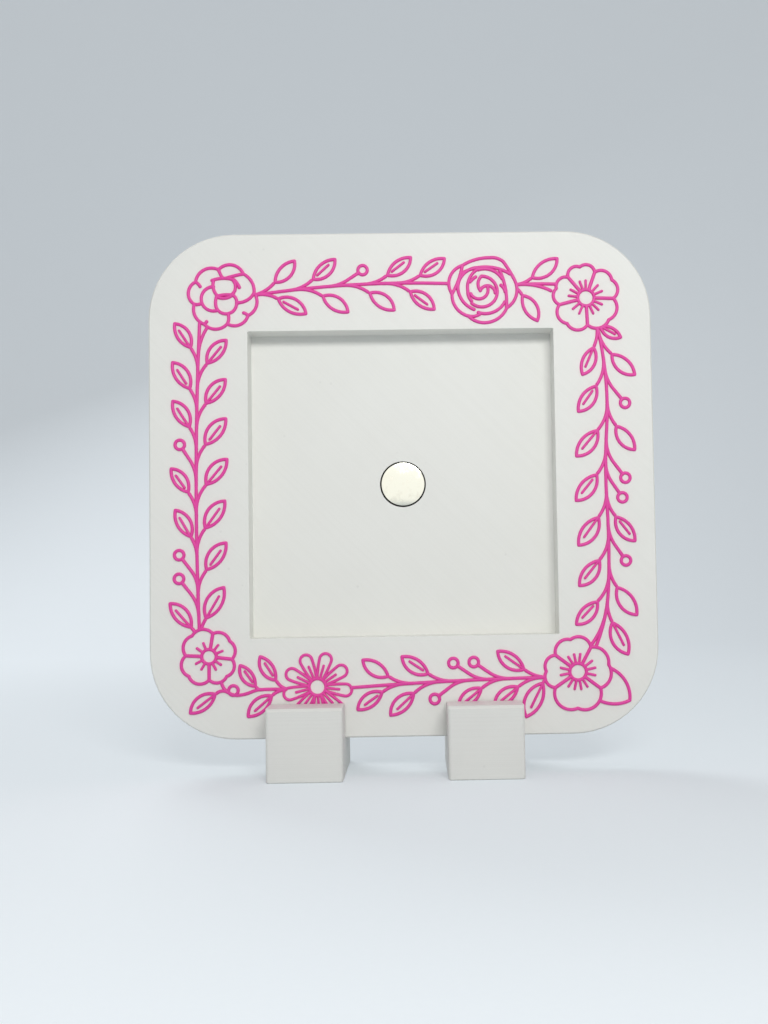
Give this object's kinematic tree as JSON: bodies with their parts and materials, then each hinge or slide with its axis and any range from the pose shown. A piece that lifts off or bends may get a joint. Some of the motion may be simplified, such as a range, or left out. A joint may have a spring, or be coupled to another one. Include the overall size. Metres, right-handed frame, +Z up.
{
  "type": "magnetic photo frame",
  "caption": "Square tabletop frame with a recess whose centre magnet holds a square photo magnet, a raised floral border and push-on feet",
  "frame": {"origin": "on the surface that the feet stand on, under the middle of the plate's width and of the feet's depth", "axes": "+Z up along the standing plate, -Y out of its front face, +X to the right seen from the front"},
  "size_m": [0.106, 0.026, 0.1135],
  "materials": {
    "white_plate": "printed in layers, smooth top face, satin",
    "white_feet": "printed in layers, fine horizontal lines, satin",
    "pink_lines": "printed lines in pink filament, satin",
    "nickel_plating": "bright nickel plating"
  },
  "bodies": {
    "frame": {"frame_plate": "white_plate", "disc_magnet": "nickel_plating", "vine_top": "pink_lines", "vine_right": "pink_lines", "vine_bottom": "pink_lines", "vine_left": "pink_lines", "sprig_top_right": "pink_lines", "sprig_bottom_left": "pink_lines", "corner_leaf": "pink_lines", "peony": "pink_lines", "rose": "pink_lines", "daisy": "pink_lines", "blossom_top_right": "pink_lines", "blossom_bottom_right": "pink_lines", "blossom_bottom_left": "pink_lines"},
    "left_foot": {"left_foot": "white_feet"},
    "right_foot": {"right_foot": "white_feet"}
  },
  "joints": [
    {"name": "left_foot_pull_off", "type": "slide", "parent": "frame", "child": "left_foot", "axis": [0, 0, -1], "range_m": [0, 0.008]},
    {"name": "right_foot_pull_off", "type": "slide", "parent": "frame", "child": "right_foot", "axis": [0, 0, -1], "range_m": [0, 0.008]}
  ]
}
